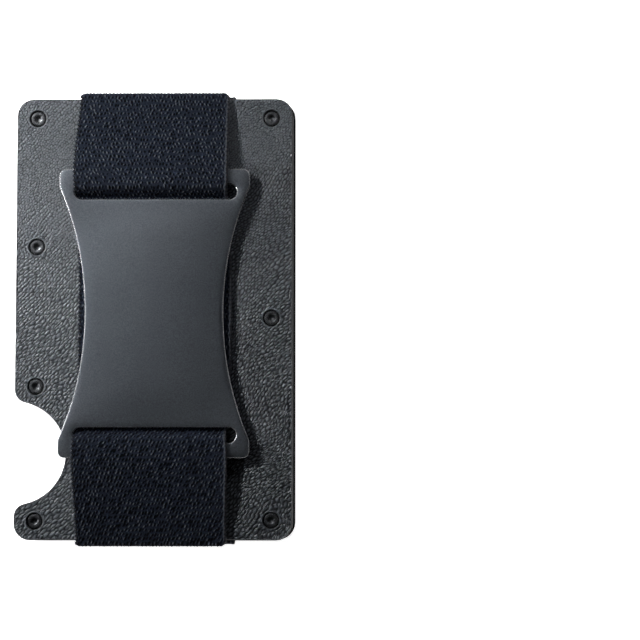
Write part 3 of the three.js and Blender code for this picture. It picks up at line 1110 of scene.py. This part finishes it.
def screw_material():
    nodes = Nodes("black_oxide_steel")
    speck = nodes.noise(8000, 3, 0.6)
    tone = nodes.ramp(speck, [(0.3, (0.12, 0.127, 0.137)), (0.7, (0.165, 0.173, 0.185))])
    nodes.join(tone, nodes.shader.inputs["Base Color"])
    nodes.join(nodes.range(speck, 0.3, 0.7, 0.24, 0.34), nodes.shader.inputs["Roughness"])
    turned_lines = nodes.bump(nodes.noise(6000, 2), 0.000012, 0.5)
    nodes.join(turned_lines, nodes.shader.inputs["Normal"])
    nodes.put(nodes.shader, Metallic=0.9)
    return nodes.material


def webbing_material():
    nodes = Nodes("woven_elastic")
    weave = nodes.attribute("weave")
    # The weave's height is painted into the colour. Painted shade makes the gaps between the yarns nearly
    # black, and a painted sheen lightens the threads that stand out. The ground between them has the yarn's
    # own navy.
    yarn = nodes.ramp(weave, [
        (0.0, (0.0002, 0.0005, 0.0014)),
        (0.25, (0.003, 0.005, 0.011)),
        (0.5, (0.0075, 0.0106, 0.0188)),
        (1.0, (0.082, 0.091, 0.104)),
    ])
    # The selvedge gets the same painted shade in the dips between its loops, and a lighter painted sheen on
    # the cord's knots.
    cord = nodes.ramp(weave, [
        (0.3, (0.0005, 0.0006, 0.001)),
        (0.85, (0.014, 0.017, 0.025)),
        (1.0, (0.045, 0.046, 0.05)),
    ])
    yarn = nodes.blend(nodes.attribute("selvedge"), yarn, cord)
    fuzz = nodes.range(nodes.noise(4200, 4, 0.7), 0.3, 0.7, 0.4, 1.6)
    yarn = nodes.blend(1.0, yarn, fuzz, "MULTIPLY")
    stray = nodes.range(nodes.noise(2100, 1, 0.4, (1.0, 0.4, 1.0)), 0.68, 0.76, 1.0, 2.2)
    yarn = nodes.blend(1.0, yarn, stray, "MULTIPLY")
    nodes.join(yarn, nodes.shader.inputs["Base Color"])
    nodes.join(nodes.range(weave, 0.0, 1.0, 0.95, 0.62), nodes.shader.inputs["Roughness"])
    fibres = nodes.bump(nodes.noise(5200, 4, 0.75, (1.6, 0.55, 1.0)), 0.00005, 0.8)
    nodes.join(fibres, nodes.shader.inputs["Normal"])
    nodes.put(nodes.shader, Specular_IOR_Level=0.1, Sheen_Weight=0.03, Sheen_Roughness=0.4)
    nodes.shader.inputs["Sheen Tint"].default_value = (0.6, 0.68, 0.85, 1)
    return nodes.material


def floor_material():
    nodes = Nodes("white_sweep")
    tone = nodes.ramp(nodes.noise(3), [(0.3, (0.9, 0.9, 0.9)), (0.7, (0.92, 0.92, 0.92))])
    nodes.join(tone, nodes.shader.inputs["Base Color"])
    nodes.put(nodes.shader, Roughness=0.9, Specular_IOR_Level=0.1, Emission_Strength=FLOOR_GLOW)
    nodes.shader.inputs["Emission Color"].default_value = (1, 1, 1, 1)
    return nodes.material


# --- Stage -----------------------------------

CAMERA_PLACE = (36.42, -21.39, 350.0)
CAMERA_TILT = (3.499, 0.721, 0.001)
CAMERA_LENS = 99.68
KEY_AIM = (-35, 28, 7)
KEY_AZIMUTH = math.radians(143)
KEY_ELEVATION = math.radians(36)
KEY_DISTANCE = 300
KEY_SIZE = 90
KEY_SPREAD = 27
KEY_WATTS = 0.06
STRIP_PLACE = (-300, 10, 36)
STRIP_SIZE = (320, 56)
STRIP_WATTS = 2.0
PANEL_PLACE = (-110, 115, 360)
PANEL_SIZE = 150
PANEL_WATTS = 0.055
RIM_PLACE = (90, 140, 90)
RIM_AIM = (12, 24, 7)
RIM_SIZE = 34
RIM_WATTS = 0.08
FLOOR_GLOW = 0.94
WORLD_GLOW = 0.94


def camera():
    data = bpy.data.cameras.new("camera")
    data.lens = CAMERA_LENS
    data.sensor_width = 36
    data.clip_start = 0.01
    obj = bpy.data.objects.new("camera", data)
    obj.location = Vector(CAMERA_PLACE) * MM
    obj.rotation_euler = Euler([math.radians(a) for a in CAMERA_TILT])
    bpy.context.scene.collection.objects.link(obj)
    bpy.context.scene.camera = obj


def area_light(name, place, aim, size, watts, spread=180):
    data = bpy.data.lights.new(name, "AREA")
    if isinstance(size, tuple):
        data.shape = "RECTANGLE"
        data.size, data.size_y = size[0] * MM, size[1] * MM
    else:
        data.shape = "DISK"
        data.size = size * MM
    data.energy = watts
    data.spread = math.radians(spread)
    obj = bpy.data.objects.new(name, data)
    obj.location = Vector(place) * MM
    obj.rotation_euler = (Vector(aim) - Vector(place)).to_track_quat("-Z", "Y").to_euler()
    obj.visible_camera = False
    bpy.context.scene.collection.objects.link(obj)


def stage():
    reach = 900
    corners = [(-reach, -reach, 0), (reach, -reach, 0), (reach, reach, 0), (-reach, reach, 0)]
    floor = make_object("floor", np.array(corners), [(0, 1, 2, 3)], floor_material(), smooth=False)
    floor.location.z = -0.05 * MM
    level = KEY_DISTANCE * math.cos(KEY_ELEVATION)
    rise = KEY_DISTANCE * math.sin(KEY_ELEVATION)
    key_place = np.array(KEY_AIM) + (level * math.cos(KEY_AZIMUTH), level * math.sin(KEY_AZIMUTH), rise)
    area_light("key", key_place, KEY_AIM, KEY_SIZE, KEY_WATTS, KEY_SPREAD)
    area_light("strip", STRIP_PLACE, (0, 0, 8), STRIP_SIZE, STRIP_WATTS)
    area_light("panel", PANEL_PLACE, (0, 0, 8), PANEL_SIZE, PANEL_WATTS)
    area_light("rim", RIM_PLACE, RIM_AIM, RIM_SIZE, RIM_WATTS)
    world = bpy.data.worlds.new("studio")
    world.use_nodes = True
    world.node_tree.nodes["Background"].inputs["Color"].default_value = (1, 1, 1, 1)
    world.node_tree.nodes["Background"].inputs["Strength"].default_value = WORLD_GLOW
    # The pale surroundings are seen behind the floor, and light nothing.
    world.cycles_visibility.diffuse = False
    world.cycles_visibility.glossy = False
    bpy.context.scene.world = world
    bpy.context.scene.view_settings.view_transform = "Standard"


camera()
stage()

leather = leather_material()
for half_side in ("back", "front"):
    leather_skin(half_side, leather)
anodised = anodised_material()
for plate in ("back_outer_plate", "back_inner_plate", "front_inner_plate", "front_outer_plate"):
    finish_plate(plate, anodised)
clip_plate(clip_material())
socket_screw = screw_mesh(screw_material())
for half_side in ("back", "front"):
    screws(half_side, socket_screw)
webbing = webbing_material()
main_elastic(webbing)
cash_strap(webbing)
